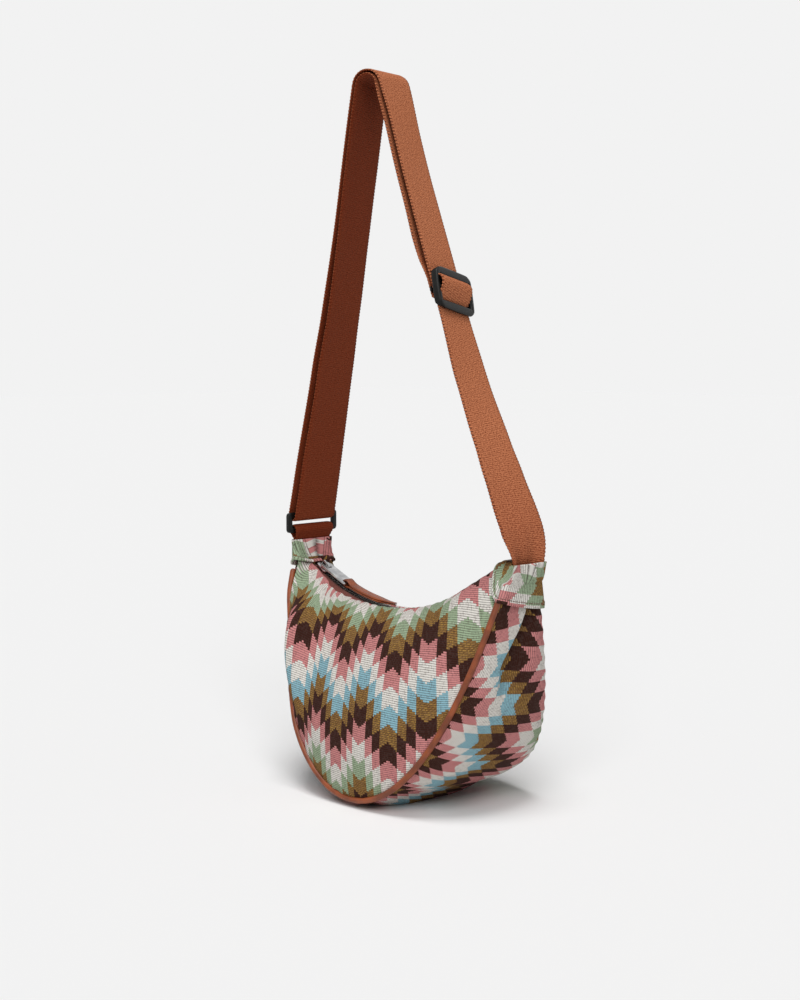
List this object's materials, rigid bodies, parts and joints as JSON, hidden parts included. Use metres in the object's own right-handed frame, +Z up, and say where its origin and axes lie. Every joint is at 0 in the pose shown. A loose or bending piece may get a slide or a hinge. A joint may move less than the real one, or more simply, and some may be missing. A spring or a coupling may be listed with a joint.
{
  "type": "belt bag",
  "caption": "Crescent belt bag of zigzag jacquard with a sagging top zip, leather piping, fabric end tabs and a webbing shoulder strap with ring and slide adjuster.",
  "frame": {"origin": "on the floor under the middle of the bag's flat base", "axes": "+Z up, the front panel with the leather piping faces -Y, the strap's adjuster is on the +X side"},
  "size_m": [0.2294, 0.1318, 0.514],
  "materials": {
    "jacquard": "woven zigzag in pink, cream, green, olive, brown and blue",
    "leather": "smooth tan leather",
    "webbing": "tan twill webbing",
    "black_plastic": "satin black",
    "zip_tape": "dark red-brown tape",
    "zip_metal": "dark metal teeth",
    "silver": "polished"
  },
  "bodies": {
    "bag": {"front_panel": "jacquard", "back_panel": "jacquard", "gusset": "jacquard", "front_piping": "leather", "zip_tape_front": "zip_tape", "zip_tape_back": "zip_tape", "zip_teeth_front": "zip_metal", "zip_teeth_back": "zip_metal", "zip_top_stop": "zip_metal", "zip_bottom_stop": "zip_metal", "shoulder_strap": "webbing", "strap_ring": "black_plastic", "left_webbing_loop": "webbing", "left_end_tab": "jacquard", "right_end_tab": "jacquard"},
    "slider": {"zip_slider": "silver"},
    "puller": {"zip_puller": "silver"},
    "pull_tab": {"leather_pull_tab": "leather"},
    "adjuster": {"tri_glide": "black_plastic", "strap_end_loop": "webbing"}
  },
  "joints": [
    {"name": "zip_slide", "type": "hinge", "parent": "bag", "child": "slider", "pos_m": [-0.02, 0, 0.2715], "axis": [0, -1, 0], "range_deg": [0, 50]},
    {"name": "puller_hinge", "type": "hinge", "parent": "slider", "child": "puller", "pos_m": [-0.09315, 0, 0.15593], "axis": [0, -1, 0], "range_deg": [0, 80]},
    {"name": "pull_tab_hinge", "type": "hinge", "parent": "puller", "child": "pull_tab", "pos_m": [-0.06854, 0, 0.14481], "axis": [0, -1, 0], "range_deg": [0, 35]},
    {"name": "strap_adjust", "type": "slide", "parent": "bag", "child": "adjuster", "axis": [-0.3479, 0, 0.9375], "range_m": [-0.04, 0.02]}
  ]
}
